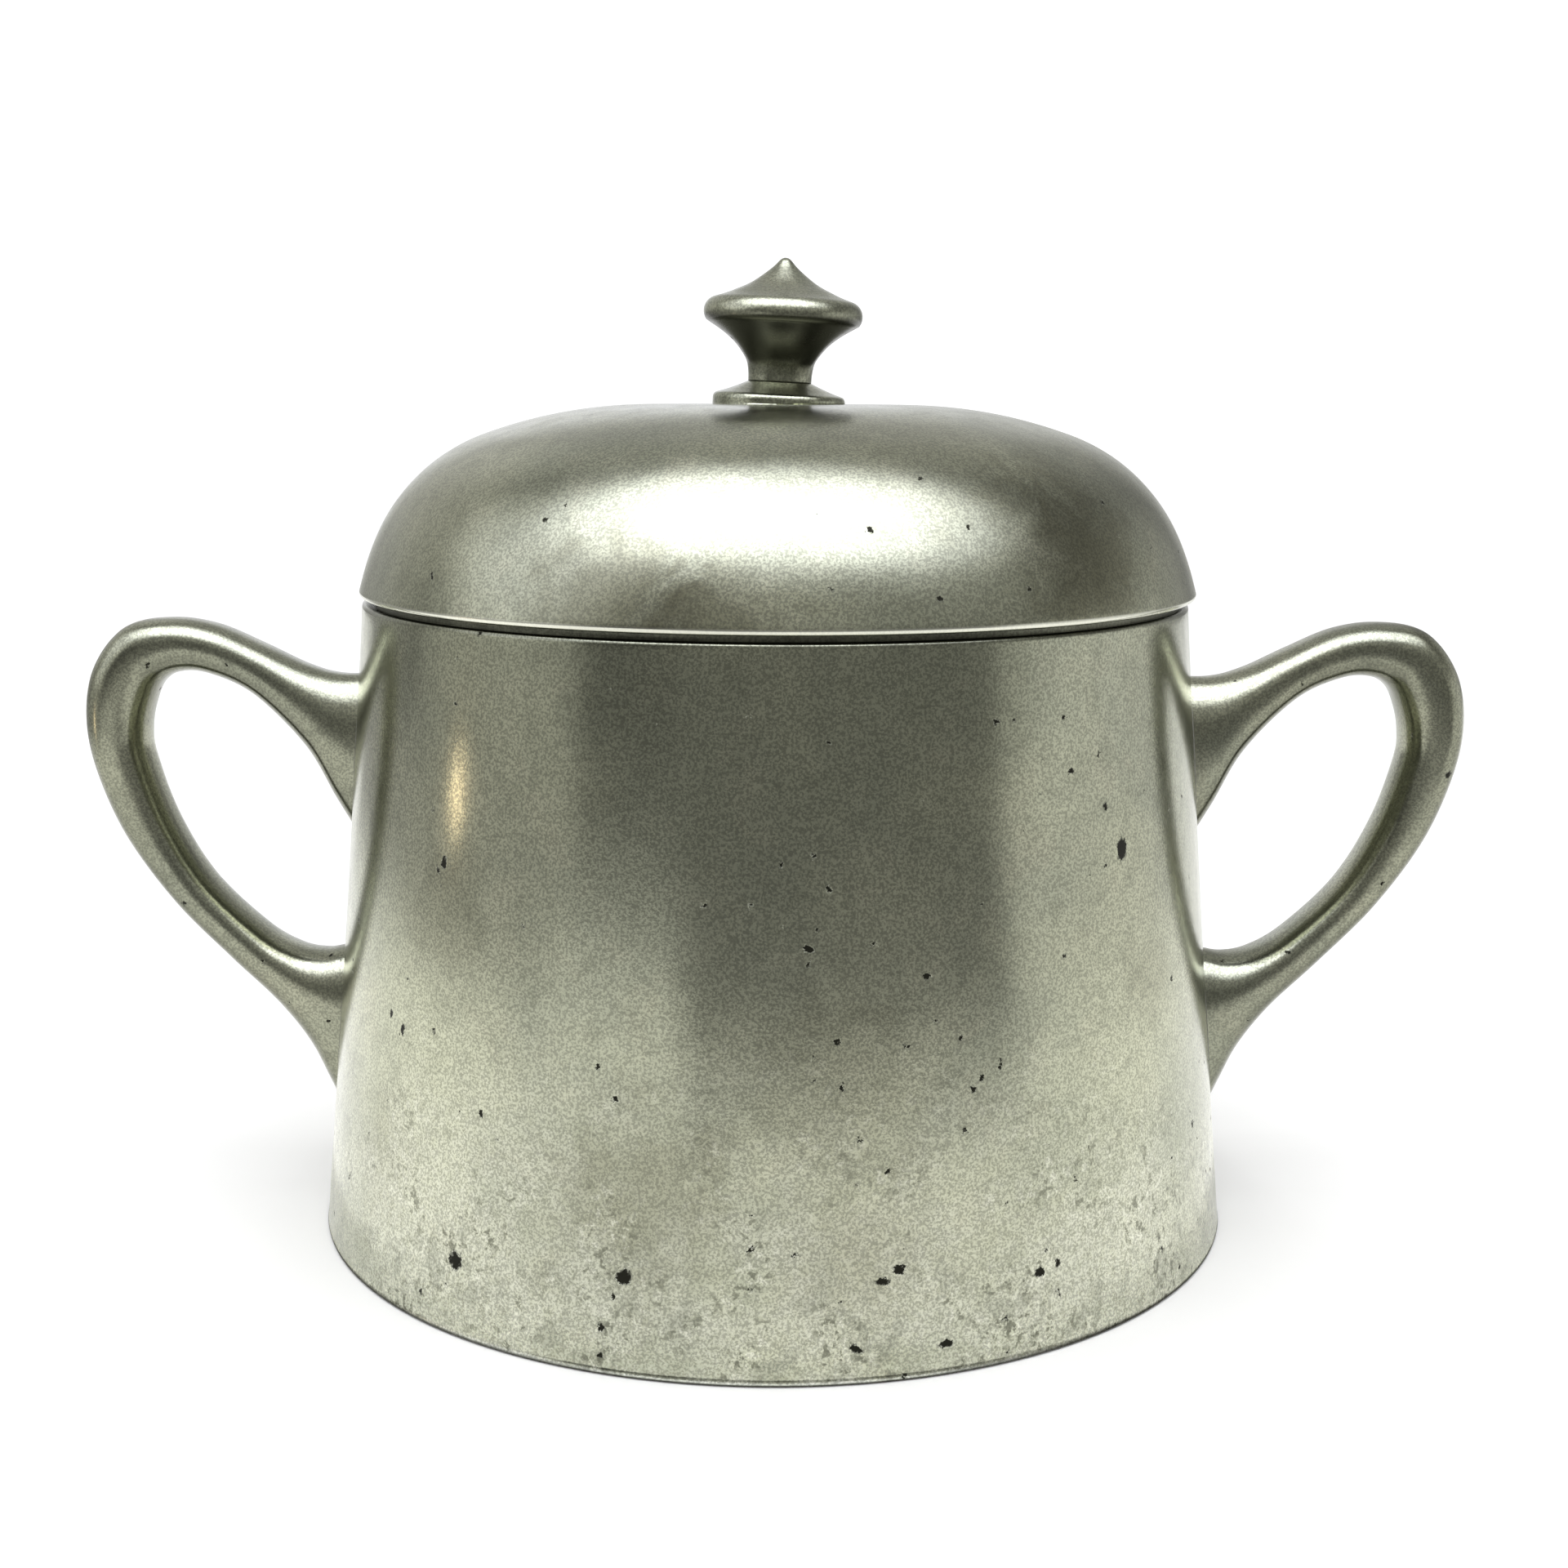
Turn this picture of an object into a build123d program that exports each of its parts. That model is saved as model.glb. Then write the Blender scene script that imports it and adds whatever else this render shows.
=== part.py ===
"""A lidded pewter sugar bowl with two ear-shaped handles and a turned finial.

Millimetres. +Z is up, the bowl stands on z = 0 about the Z axis, and the handles reach out along X.
"""

import os
from math import atan2, cos, degrees, radians, sin, sqrt

from build123d import *

os.makedirs("parts", exist_ok=True)

# Bowl
base_r = 50.0
rim_r = 44.2
rim_z = 67.8
wall_t = 1.8
wall_sag = 0.15
base_round = 0.2
rim_round_out = 0.5
rim_round_in = 0.25

# Base plate, let in from below and soldered round its upper edge
plate_z = 1.2
plate_t = 2.0
plate_flat_r = 40.0
plate_rise = 0.8
plate_gap = 0.05
base_solder_leg = 1.2

# Lid: a flat crown, then three tangent arcs down to a rounded lip
crown_z = 88.35
crown_flat_r = 13.6
shoulder_arc = (52.0, 19.9)
turn_arc = (20.2, 66.1)
skirt_r = 30.7
lip_z = 68.4
lip_round = 0.5
lid_t = 1.5
crown_hole_r = 2.3
lid_shift = 0.25

# Seat ring inside the lid: its flange lies on the rim, its bezel drops into the bowl
seat_in_r = 40.8
flange_out_r = 43.0
flange_top_z = 69.2
bezel_out_r = 42.0
bezel_end_z = 62.3
seat_solder_leg = 1.2
seat_solder_top_z = 70.5
turning_gap = 0.03

# Finial, drawn upright from the crown and then leant over
finial_lean = 2.7
collar_r = 7.1
collar_edge_h = 0.85
collar_top_r = 3.45
collar_top_h = 2.3
knob_waist_r = 3.32
knob_r = 8.5
knob_edge_round = 1.6
knob_edge_h = 9.45
tip_round = 0.8
tip_slope = 42.0
tip_ball_h = 14.48
stud_r = 2.0
stud_root_r = 1.65
stud_top_h = 8.4
stud_end_h = -6.9
thread_pitch = 0.8
knob_bore_r = 2.05
knob_bore_h = 8.6
washer_r = 5.2
washer_t = 0.8
nut_flats = 7.0
nut_t = 2.6
nut_gap = 0.26

# Handles: oval sections at stations from the upper foot, round the loop, to the lower foot.
# Each row is the loop's outer edge (x, z), its inner edge (x, z) and the half width along Y.
stations = [
    (43.0, 59.3, 45.3, 40.0, 5.0),
    (47.6, 59.2, 48.1, 45.0, 4.8),
    (51.4, 60.2, 51.3, 51.0, 4.4),
    (56.0, 62.35, 56.8, 56.75, 4.0),
    (61.0, 64.5, 61.7, 59.1, 3.9),
    (66.0, 65.2, 65.0, 59.3, 4.0),
    (70.9, 64.2, 67.1, 58.1, 4.2),
    (74.3, 60.1, 68.2, 55.8, 4.3),
    (75.45, 54.8, 68.8, 53.0, 4.3),
    (74.7, 48.8, 68.6, 49.9, 4.2),
    (71.8, 41.25, 66.4, 43.1, 4.0),
    (66.7, 33.7, 62.6, 36.3, 3.9),
    (60.7, 27.3, 57.0, 30.7, 4.0),
    (55.5, 22.15, 53.3, 28.5, 4.4),
    (52.1, 17.6, 50.4, 28.0, 4.8),
    (50.1, 13.3, 48.0, 28.4, 5.0),
    (47.5, 7.0, 44.0, 29.1, 5.1),
]

# Solder under each handle foot: (middle z, half height, half width)
pad_t = 0.15
upper_pad = (50.4, 9.2, 5.4)
lower_pad = (19.2, 9.7, 5.6)


def wall_r(z):
    """Outer radius of the bowl's wall at height z: a cone drawn in a little at mid height."""
    up = z / rim_z
    return base_r - (base_r - rim_r) * up - 4 * wall_sag * up * (1 - up)


def inner_r(z):
    """Inner radius of the bowl's wall at height z."""
    return wall_r(z) - wall_t


def rings(profile):
    """Turn a closed profile, drawn in X and Z, about the Z axis."""
    return revolve(profile, axis=Axis.Z)


def xz(points):
    """Points (radius, height) as 3-D points on the XZ plane."""
    return [(r, 0, z) for r, z in points]


def on_arc(centre, radius, angle):
    """The point at an angle from the vertical on a circle about (radius, height) centre."""
    return (centre[0] + radius * sin(radians(angle)), centre[1] + radius * cos(radians(angle)))


def angle_of(centre, point):
    """The angle from the vertical at which a point lies about a centre."""
    return degrees(atan2(point[0] - centre[0], point[1] - centre[1]))


def arc(centre, radius, start, end):
    """The arc between two angles from the vertical."""
    middle = (start + end) / 2
    return ThreePointArc(*xz([on_arc(centre, radius, a) for a in (start, middle, end)]))


def slab(points):
    """A closed straight-sided profile on the XZ plane."""
    return make_face(Polyline(*xz(points), close=True))


def near(face, r, z):
    """The corner of a profile closest to (r, z)."""
    return face.vertices().sort_by_distance((r, 0, z))[0]


def wall_line(extra, start, end):
    """The wall's outer face from height start to height end, moved outwards by extra."""
    heights = (start, (start + end) / 2, end)
    return ThreePointArc(*xz([(wall_r(z) + extra, z) for z in heights]))


def within_wall(extra):
    """The space inside the wall's outer face, grown outwards, over the height of the bowl."""
    closing = Polyline(*xz([(wall_r(rim_z) + extra, rim_z), (0, rim_z), (0, 0), (wall_r(0) + extra, 0)]))
    return Rotation(0, 0, 90) * rings(make_face([wall_line(extra, 0, rim_z), closing]))


# Bowl wall
wall = make_face(
    [
        wall_line(0, 0, rim_z),
        Line(*xz([(rim_r, rim_z), (inner_r(rim_z), rim_z)])),
        wall_line(-wall_t, rim_z, 0),
        Line(*xz([(inner_r(0), 0), (wall_r(0), 0)])),
    ]
)
wall = fillet(near(wall, wall_r(0), 0), base_round)
wall = fillet(near(wall, rim_r, rim_z), rim_round_out)
wall = fillet(near(wall, inner_r(rim_z), rim_z), rim_round_in)
bowl_wall = rings(wall)

# Base plate: flat where it meets the wall, gently raised inside
plate_top = plate_z + plate_t


def plate_rise_arc(z):
    """Half of the raised middle, from the flat edge at height z to the axis."""
    whole_r = (plate_flat_r**2 + plate_rise**2) / (2 * plate_rise)
    half = plate_flat_r / 2
    half_z = z + plate_rise - whole_r + sqrt(whole_r**2 - half**2)
    return ThreePointArc(*xz([(plate_flat_r, z), (half, half_z), (0, z + plate_rise)]))


edge_low = inner_r(plate_z) - plate_gap
edge_high = inner_r(plate_top) - plate_gap
plate_rim = Polyline(
    *xz([(plate_flat_r, plate_z), (edge_low, plate_z), (edge_high, plate_top), (plate_flat_r, plate_top)])
)
plate_axis = Line(*xz([(0, plate_z + plate_rise), (0, plate_top + plate_rise)]))
base_plate = rings(make_face([plate_rise_arc(plate_z), plate_rim, plate_rise_arc(plate_top), plate_axis]))

# Base solder: a hollow fillet in the corner above the plate
solder_top = plate_top + base_solder_leg
corner = (inner_r(plate_top), plate_top)
solder_in = (corner[0] - base_solder_leg, plate_top)
solder_up = (inner_r(solder_top), solder_top)
hollow = (corner[0] - 0.35 * base_solder_leg, plate_top + 0.35 * base_solder_leg)
base_solder = rings(
    make_face(
        [
            Line(*xz([solder_in, corner])),
            wall_line(-wall_t, plate_top, solder_top),
            ThreePointArc(*xz([solder_up, hollow, solder_in])),
        ]
    )
)

# Lid: outer arcs and the same arcs set in by the metal's thickness
c1 = (crown_flat_r, crown_z - shoulder_arc[0])
c2 = on_arc(c1, shoulder_arc[0] - turn_arc[0], shoulder_arc[1])
c3 = on_arc(c2, turn_arc[0] - skirt_r, turn_arc[1])
lip_ball_z = lip_z + lip_round
lip_cos = (lip_ball_z - c3[1]) / (skirt_r - lip_round)
lip_ball = (c3[0] + (skirt_r - lip_round) * sqrt(1 - lip_cos**2), lip_ball_z)
lip_angle = angle_of(c3, lip_ball)


def skirt_inner_r(z, gap=0.0):
    """Radius of the lid's inner face at height z, less a gap."""
    radius = skirt_r - lid_t - gap
    return c3[0] + sqrt(radius**2 - (z - c3[1]) ** 2)


inner_skirt_r = skirt_r - lid_t
inner_end_angle = angle_of(c3, (skirt_inner_r(lip_z), lip_z))
lid_edges = [
    Line(*xz([(crown_hole_r, crown_z), (crown_flat_r, crown_z)])),
    arc(c1, shoulder_arc[0], 0, shoulder_arc[1]),
    arc(c2, turn_arc[0], shoulder_arc[1], turn_arc[1]),
    arc(c3, skirt_r, turn_arc[1], lip_angle),
    arc(lip_ball, lip_round, lip_angle, 180),
    Line(*xz([(lip_ball[0], lip_z), (skirt_inner_r(lip_z), lip_z)])),
    arc(c3, inner_skirt_r, inner_end_angle, turn_arc[1]),
    arc(c2, turn_arc[0] - lid_t, turn_arc[1], shoulder_arc[1]),
    arc(c1, shoulder_arc[0] - lid_t, shoulder_arc[1], 0),
    Line(*xz([(crown_flat_r, crown_z - lid_t), (crown_hole_r, crown_z - lid_t)])),
    Line(*xz([(crown_hole_r, crown_z - lid_t), (crown_hole_r, crown_z)])),
]
lid_place = Pos(lid_shift, 0, 0)
lid_dome = lid_place * rings(make_face(lid_edges))

# Seat ring and the solder that holds it
seat = slab(
    [
        (seat_in_r, bezel_end_z),
        (bezel_out_r, bezel_end_z),
        (bezel_out_r, rim_z),
        (flange_out_r, rim_z),
        (flange_out_r, flange_top_z),
        (seat_in_r, flange_top_z),
    ]
)
seat = chamfer(near(seat, bezel_out_r, bezel_end_z), 0.3)
lid_seat_ring = lid_place * rings(seat)

seam_top = (skirt_inner_r(seat_solder_top_z, turning_gap), seat_solder_top_z)
seam_mid_z = (flange_top_z + seat_solder_top_z) / 2
seam_mid = (skirt_inner_r(seam_mid_z, turning_gap), seam_mid_z)
seam_low = (skirt_inner_r(flange_top_z, turning_gap), flange_top_z)
seam_in = (flange_out_r - seat_solder_leg, flange_top_z)
seam_hollow = (seam_mid[0] - 0.5, flange_top_z + 0.42)
lid_seat_solder = lid_place * rings(
    make_face(
        [
            Line(*xz([seam_in, seam_low])),
            ThreePointArc(*xz([seam_low, seam_mid, seam_top])),
            ThreePointArc(*xz([seam_top, seam_hollow, seam_in])),
        ]
    )
)

# Finial pieces, upright and measured up from the crown
lean = Location((lid_shift, 0, crown_z)) * Rotation(0, finial_lean, 0)

# Collar: a shallow cone that leans with the knob but lies flat on the crown
collar_inner = (crown_hole_r, collar_top_h)
collar_top = (collar_top_r, collar_top_h)
collar_slope_end = (collar_r - 0.15, collar_edge_h + 0.15)
collar_edge = (collar_r, collar_edge_h)
collar_profile = make_face(
    [
        Line(*xz([collar_inner, collar_top])),
        ThreePointArc(*xz([collar_top, (4.7, 1.75), collar_slope_end])),
        Polyline(*xz([collar_slope_end, collar_edge, (collar_r, -2), (crown_hole_r, -2), collar_inner])),
    ]
)
below_crown = Pos(0, 0, crown_z - 5) * Box(40, 40, 10)
knob_collar = lean * rings(collar_profile) - below_crown

# Knob: flared stem, rounded edge, hollow-sided point with a blunt tip
edge_centre = (knob_r - knob_edge_round, knob_edge_h)
flare_angle = 126.0
flare_end = on_arc(edge_centre, knob_edge_round, flare_angle)
flare_dir = (sin(radians(flare_angle - 90)), 0, -cos(radians(flare_angle - 90)))
ogee_start_angle = 17.0
ogee_start = on_arc(edge_centre, knob_edge_round, ogee_start_angle)
tip_centre = (0, tip_ball_h)
tip_foot = on_arc(tip_centre, tip_round, tip_slope)
cone_run = 1.3
ogee_end = (
    tip_foot[0] + cone_run * cos(radians(tip_slope)),
    tip_foot[1] - cone_run * sin(radians(tip_slope)),
)
knob_profile = make_face(
    [
        Line(*xz([(knob_bore_r, collar_top_h), (knob_waist_r + 0.06, collar_top_h)])),
        Spline(
            *xz([(knob_waist_r + 0.06, collar_top_h), (3.66, 4.35), (5.15, 6.4), flare_end]),
            tangents=[(-0.05, 0, 1), (cos(radians(36)), 0, sin(radians(36)))],
        ),
        arc(edge_centre, knob_edge_round, flare_angle, ogee_start_angle),
        Spline(
            *xz([ogee_start, (5.3, 11.75), (3.5, 12.63), ogee_end]),
            tangents=[
                (-cos(radians(ogee_start_angle)), 0, sin(radians(ogee_start_angle))),
                (-cos(radians(tip_slope)), 0, sin(radians(tip_slope))),
            ],
        ),
        Line(*xz([ogee_end, tip_foot])),
        arc(tip_centre, tip_round, tip_slope, 0),
        Polyline(
            *xz(
                [
                    (0, tip_ball_h + tip_round),
                    (0, knob_bore_h + 1),
                    (knob_bore_r, knob_bore_h),
                    (knob_bore_r, collar_top_h),
                ]
            )
        ),
    ]
)
knob = lean * rings(knob_profile)

# Stud with a grooved stand-in thread at both ends
stud = Pos(0, 0, (stud_top_h + stud_end_h) / 2) * Cylinder(stud_r, stud_top_h - stud_end_h)
groove_floor = 0.15


def groove(h):
    """One ring-shaped thread groove about height h."""
    mouth = thread_pitch * 0.42
    return rings(
        slab(
            [
                (stud_root_r, h - groove_floor),
                (stud_r + 0.2, h - mouth),
                (stud_r + 0.2, h + mouth),
                (stud_root_r, h + groove_floor),
            ]
        )
    )


for first, count in ((stud_end_h + 0.8, 6), (collar_top_h + 0.6, 6)):
    for turn in range(count):
        stud -= groove(first + turn * thread_pitch)
stud = chamfer(stud.edges().filter_by(GeomType.CIRCLE).sort_by(Axis.Z)[0], 0.3)
knob_stud = lean * stud

# Washer flat under the crown, and the square nut on the leaning stud
washer_top = crown_z - lid_t
washer = Cylinder(washer_r, washer_t) - Cylinder(crown_hole_r, 2 * washer_t)
knob_washer = lid_place * Pos(0, 0, washer_top - washer_t / 2) * washer
nut_top_h = -lid_t - washer_t - nut_gap
nut = Pos(0, 0, nut_top_h - nut_t / 2) * Box(nut_flats, nut_flats, nut_t)
nut = chamfer(nut.edges().filter_by(Axis.Z), 0.4)
knob_nut = lean * (nut - Pos(0, 0, nut_top_h - nut_t / 2) * Cylinder(stud_r + 0.02, 2 * nut_t))


# Handles
def oval(outer_x, outer_z, inner_x, inner_z, half_width):
    """An oval section, in four quarters, between a point of the outer edge and one of the inner edge."""
    middle = Vector((outer_x + inner_x) / 2, 0, (outer_z + inner_z) / 2)
    across = Vector(outer_x - inner_x, 0, outer_z - inner_z) * 0.5
    along_y = Vector(0, half_width, 0)
    quarters = []
    for start in (0, 90, 180, 270):
        turns = [radians(start + step * 22.5) for step in range(5)]
        points = [middle + across * cos(t) + along_y * sin(t) for t in turns]
        ends = [along_y * cos(t) - across * sin(t) for t in (turns[0], turns[-1])]
        quarters.append(Spline(*points, tangents=ends))
    return make_face(quarters)


handle_right = loft([oval(*station) for station in stations]) - within_wall(pad_t)
handle_left = mirror(handle_right, about=Plane.YZ)


def pad(middle_z, half_height, half_width):
    """The film of solder between the wall and one handle foot."""
    upright = Plane(origin=(30, 0, middle_z), x_dir=(0, 1, 0), z_dir=(1, 0, 0))
    through = extrude(upright * Ellipse(half_width, half_height), 30)
    return (through & within_wall(pad_t)) - within_wall(0)


upper_solder_right = pad(*upper_pad)
lower_solder_right = pad(*lower_pad)

parts = {
    "bowl_wall": bowl_wall,
    "base_plate": base_plate,
    "base_solder": base_solder,
    "handle_right": handle_right,
    "handle_left": handle_left,
    "upper_solder_right": upper_solder_right,
    "lower_solder_right": lower_solder_right,
    "upper_solder_left": mirror(upper_solder_right, about=Plane.YZ),
    "lower_solder_left": mirror(lower_solder_right, about=Plane.YZ),
    "lid_dome": lid_dome,
    "lid_seat_ring": lid_seat_ring,
    "lid_seat_solder": lid_seat_solder,
    "knob": knob,
    "knob_collar": knob_collar,
    "knob_stud": knob_stud,
    "knob_washer": knob_washer,
    "knob_nut": knob_nut,
}

for name, shape in parts.items():
    shape.label = name
    export_step(shape, f"parts/{name}.step")
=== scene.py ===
"""Looks of a lidded pewter sugar bowl, built round its CAD model.

The frame is in metres. The bowl's shapes and patterns are written in millimetres, and scaled once, when a
mesh or a material is made. The studio is written in metres. Directions round the bowl are in degrees from
its front, which faces -Y, and go up towards its right side.
"""

from math import atan2, cos, degrees, hypot, pi, radians, sin, sqrt

import bpy
from mathutils import Matrix, Vector, noise


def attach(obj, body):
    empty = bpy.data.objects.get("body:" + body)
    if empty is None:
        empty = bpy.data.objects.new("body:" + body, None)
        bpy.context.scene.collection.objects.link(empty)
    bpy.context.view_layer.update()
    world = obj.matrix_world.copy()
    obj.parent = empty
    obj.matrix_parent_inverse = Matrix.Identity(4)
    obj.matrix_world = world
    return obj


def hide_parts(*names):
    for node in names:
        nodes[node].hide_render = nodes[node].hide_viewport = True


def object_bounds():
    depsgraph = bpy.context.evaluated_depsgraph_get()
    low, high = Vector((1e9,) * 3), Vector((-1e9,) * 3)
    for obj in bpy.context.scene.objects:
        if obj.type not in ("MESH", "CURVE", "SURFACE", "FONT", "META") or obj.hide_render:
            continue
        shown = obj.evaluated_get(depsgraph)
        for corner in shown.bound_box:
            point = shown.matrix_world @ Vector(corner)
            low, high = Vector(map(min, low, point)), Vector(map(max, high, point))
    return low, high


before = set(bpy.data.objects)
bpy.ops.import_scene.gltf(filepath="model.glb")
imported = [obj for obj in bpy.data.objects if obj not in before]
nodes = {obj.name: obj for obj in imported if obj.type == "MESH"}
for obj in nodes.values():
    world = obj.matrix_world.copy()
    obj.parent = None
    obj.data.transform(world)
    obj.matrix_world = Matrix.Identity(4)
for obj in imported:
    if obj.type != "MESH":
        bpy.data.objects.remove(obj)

MM = 0.001
cad_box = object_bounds()

# Bowl wall
BASE_R = 50.0
RIM_R = 44.2
RIM_Z = 67.8
WALL_T = 1.8
WALL_SAG = 0.15
BASE_ROUND = 0.2
RIM_ROUND = 0.5
RIM_INNER_ROUND = 0.25

# Lid: a flat crown, then the shoulder, the turn and the skirt, which are tangent arcs with these radii and
# end at these angles from the vertical
CROWN_Z = 88.35
CROWN_FLAT_R = 13.6
SHOULDER_R = 52.0
SHOULDER_ANGLE = 19.9
TURN_R = 20.2
TURN_ANGLE = 66.1
SKIRT_R = 30.7
LIP_Z = 68.4
LIP_ROUND = 0.5
LID_T = 1.5
CROWN_HOLE_R = 2.3
LID_SHIFT = 0.25

# Finial, with heights measured up from the crown
FINIAL_LEAN = 2.7
COLLAR_R = 7.1
COLLAR_TOP = 2.3
COLLAR_SUNK = 0.6
STEM_R = 3.38
KNOB_EDGE = (6.9, 9.45)
KNOB_EDGE_R = 1.6
FLARE_ANGLE = 126
OGEE_ANGLE = 17
TIP_CENTRE = (0, 14.48)
TIP_R = 0.8
TIP_ANGLE = 42
STUD_BORE_R = 2.05
STUD_BORE_H = 8.6

# Handle stations: outer edge (x, z), inner edge (x, z), half width along Y
STATIONS = [
    (43.0, 59.3, 45.3, 40.0, 5.0),
    (47.6, 59.2, 48.1, 45.0, 4.8),
    (51.4, 60.2, 51.3, 51.0, 4.4),
    (56.0, 62.35, 56.8, 56.75, 4.0),
    (61.0, 64.5, 61.7, 59.1, 3.9),
    (66.0, 65.2, 65.0, 59.3, 4.0),
    (70.9, 64.2, 67.1, 58.1, 4.2),
    (74.3, 60.1, 68.2, 55.8, 4.3),
    (75.45, 54.8, 68.8, 53.0, 4.3),
    (74.7, 48.8, 68.6, 49.9, 4.2),
    (71.8, 41.25, 66.4, 43.1, 4.0),
    (66.7, 33.7, 62.6, 36.3, 3.9),
    (60.7, 27.3, 57.0, 30.7, 4.0),
    (55.5, 22.15, 53.3, 28.5, 4.4),
    (52.1, 17.6, 50.4, 28.0, 4.8),
    (50.1, 13.3, 48.0, 28.4, 5.0),
    (47.5, 7.0, 44.0, 29.1, 5.1),
]

# About half the thickness of a handle, and how flat its sides are: 1 gives an ellipse, and less is flatter
SECTION_HALF = 5
SIDE_FLATNESS = 0.8

# Larger pits: degrees round from the front, height, half width, half height
BODY_PITS = [
    (47, 46.5, 0.85, 1.3),
    (44, 51, 0.35, 0.4),
    (38, 55, 0.3, 0.35),
    (43, 56, 0.25, 0.3),
    (-43, 45.5, 0.5, 0.6),
    (-44, 44.5, 0.3, 0.35),
    (4, 40.5, 0.5, 0.45),
    (5, 42, 0.25, 0.25),
    (4, 39, 0.25, 0.3),
    (17.5, 37.5, 0.45, 0.35),
    (21.5, 31.5, 0.35, 0.35),
    (7, 32, 0.5, 0.25),
    (23, 26.5, 0.4, 0.45),
    (24, 27.5, 0.3, 0.35),
    (26.5, 28.5, 0.25, 0.6),
    (-53, 29, 0.35, 0.6),
    (-50, 28, 0.4, 0.8),
    (-35, 22.5, 0.35, 0.6),
    (-38, 7.5, 0.95, 1.0),
    (-16, 9.5, 0.85, 0.8),
    (12, 9.5, 0.75, 0.4),
    (14, 10.5, 0.6, 0.45),
    (31, 8, 0.7, 0.5),
    (33.5, 8.5, 0.4, 0.6),
    (19, 3, 0.7, 0.35),
    (9, 3.5, 0.7, 0.4),
]
LID_PITS = [
    (-31, 78, 0.3, 0.35),
    (-29, 79.5, 0.25, 0.25),
    (12, 77.5, 0.3, 0.25),
]
HANDLE_PITS = [
    (87, 49, 0.5, 0.5),
]
HANDLE_PIT_R = 73.6

# Pale bloom on the wall, and brownish stains: degrees round from the front, height, reach, strength
BLOOM_AND_FLOOR_REFLECTION = [
    (-31, 25, 13, 0.2),
    (-46, 11, 15, 0.2),
    # These two strong patches low at the foot are partly real bloom and partly painted reflection of the
    # pale floor
    (-38, 3, 16, 0.42),
    (41, 4, 16, 0.42),
    (5, 3, 14, 0.06),
    (150, 20, 18, 0.12),
]
BODY_STAINS = [
    (9, 12, 10, 0.42),
    (-14, 16, 12, 0.4),
    (8, 27, 13, 0.25),
    (-53, 15, 8, 0.3),
    (52, 33, 6, 0.3),
    (-44, 41, 9, 0.3),
    (170, 30, 15, 0.35),
    (110, 14, 10, 0.3),
]
LID_STAINS = [
    (-20, 71, 11, 0.6),
    (-6, 69, 9, 0.55),
    (42, 74, 13, 0.7),
    (-55, 79, 14, 0.25),
    (20, 84, 16, 0.25),
    (165, 76, 15, 0.4),
]

# Where the bloom starts, and the height below which it is at its thickest
BLOOM_TOP = 40.0
BLOOM_FOOT = 4.0

# Painted shade in the gap between lid and bowl and along the foot's edge: the height where each band starts,
# the height where it is darkest, strength
BODY_SHADE_BANDS = [
    (0.5, 0.2, 0.88),
    (RIM_Z - 0.6, RIM_Z - 0.25, 0.5),
]
LID_SHADE_BANDS = [
    (68.55, 68.42, 0.85),
]
RING_SHADE_BANDS = [
    (66.9, 67.7, 0.6),
]
# Height of a painted highlight along the lid's rounded lip
LIP_HIGHLIGHT_Z = 68.75

# Colours of the metal, which each part's tone scales
DEEP_OLIVE = (0.43, 0.445, 0.335)
PALE_OLIVE = (0.54, 0.55, 0.405)
WARM_OLIVE = (0.57, 0.555, 0.41)
DARK_BLOTCH = (0.27, 0.28, 0.205)
BROWN_STAIN = (0.245, 0.237, 0.16)

# Colours of what lies on the metal, and of the painted shade and painted highlight put on it
PALE_BLOOM = (0.8, 0.805, 0.675)
DARK_ISLAND = (0.3, 0.31, 0.24)
DARK_FLECK = (0.13, 0.132, 0.095)
PALE_CRUMB = (0.86, 0.86, 0.72)
INSIDE_GREY = (0.58, 0.575, 0.53)
SAND = (0.1, 0.102, 0.08)
# Painted shade for what faces down, under the knob and the handles
PAINTED_UNDERSIDE_SHADE = (0.04, 0.04, 0.03)
# Painted highlight along the lid's lip
PAINTED_LIP_HIGHLIGHT = (0.85, 0.85, 0.74)
# Painted shade in the gap between lid and bowl and along the foot's edge
PAINTED_CREASE_SHADE = (0.03, 0.03, 0.024)
PIT_DARK = (0.022, 0.022, 0.016)

# Studio
FLOOR_R = 3
FLOOR_DROP = 0.00005
TENT_R = 0.9
TENT_GLOW = 0.25
TABLE_TOP_Z = 0.001
TABLE_NEAR_R = 0.056
TABLE_FAR_R = 0.89

# Soft round patches of light: degrees round from the front, degrees up, inner and outer angle, strength
LIGHT_PATCHES = [
    (0, 74, 16, 38, 2.7),
    (-50, 66, 10, 31, 1.9),
    (52, 64, 10, 31, 1.9),
    (-74, 38, 6, 36, 1.15),
    (-132, 26, 8, 32, 0.38),
    (180, 50, 10, 42, 0.3),
    (180, 2, 10, 34, 0.55),
    (-170, 10, 6, 22, 0.3),
    (120, 8, 6, 30, 0.25),
    (86, 2, 4, 24, 0.3),
]

# Upright panels of light: degrees round, width, degrees up, height, softness of the edge, strength.
# A panel of negative strength dims what is there.
LIGHT_PANELS = [
    (10, 120, 36, 16, 14, 0.24),
    (88, 56, 0, 26, 3, 0.3),
    (-78, 52, 2, 26, 3, 0.22),
    (-38, 24, 4, 16, 4, -0.05),
    (-38, 22, 22, 22, 6, -0.14),
]


# Shapes


def wall_r(z):
    """Outer radius of the bowl's wall at a height."""
    up = z / RIM_Z
    return BASE_R - (BASE_R - RIM_R) * up - 4 * WALL_SAG * up * (1 - up)


def smooth(low, high, value):
    """0 at low, 1 at high, and an S curve between them."""
    t = min(1.0, max(0.0, (value - low) / (high - low)))
    return t * t * (3 - 2 * t)


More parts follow.
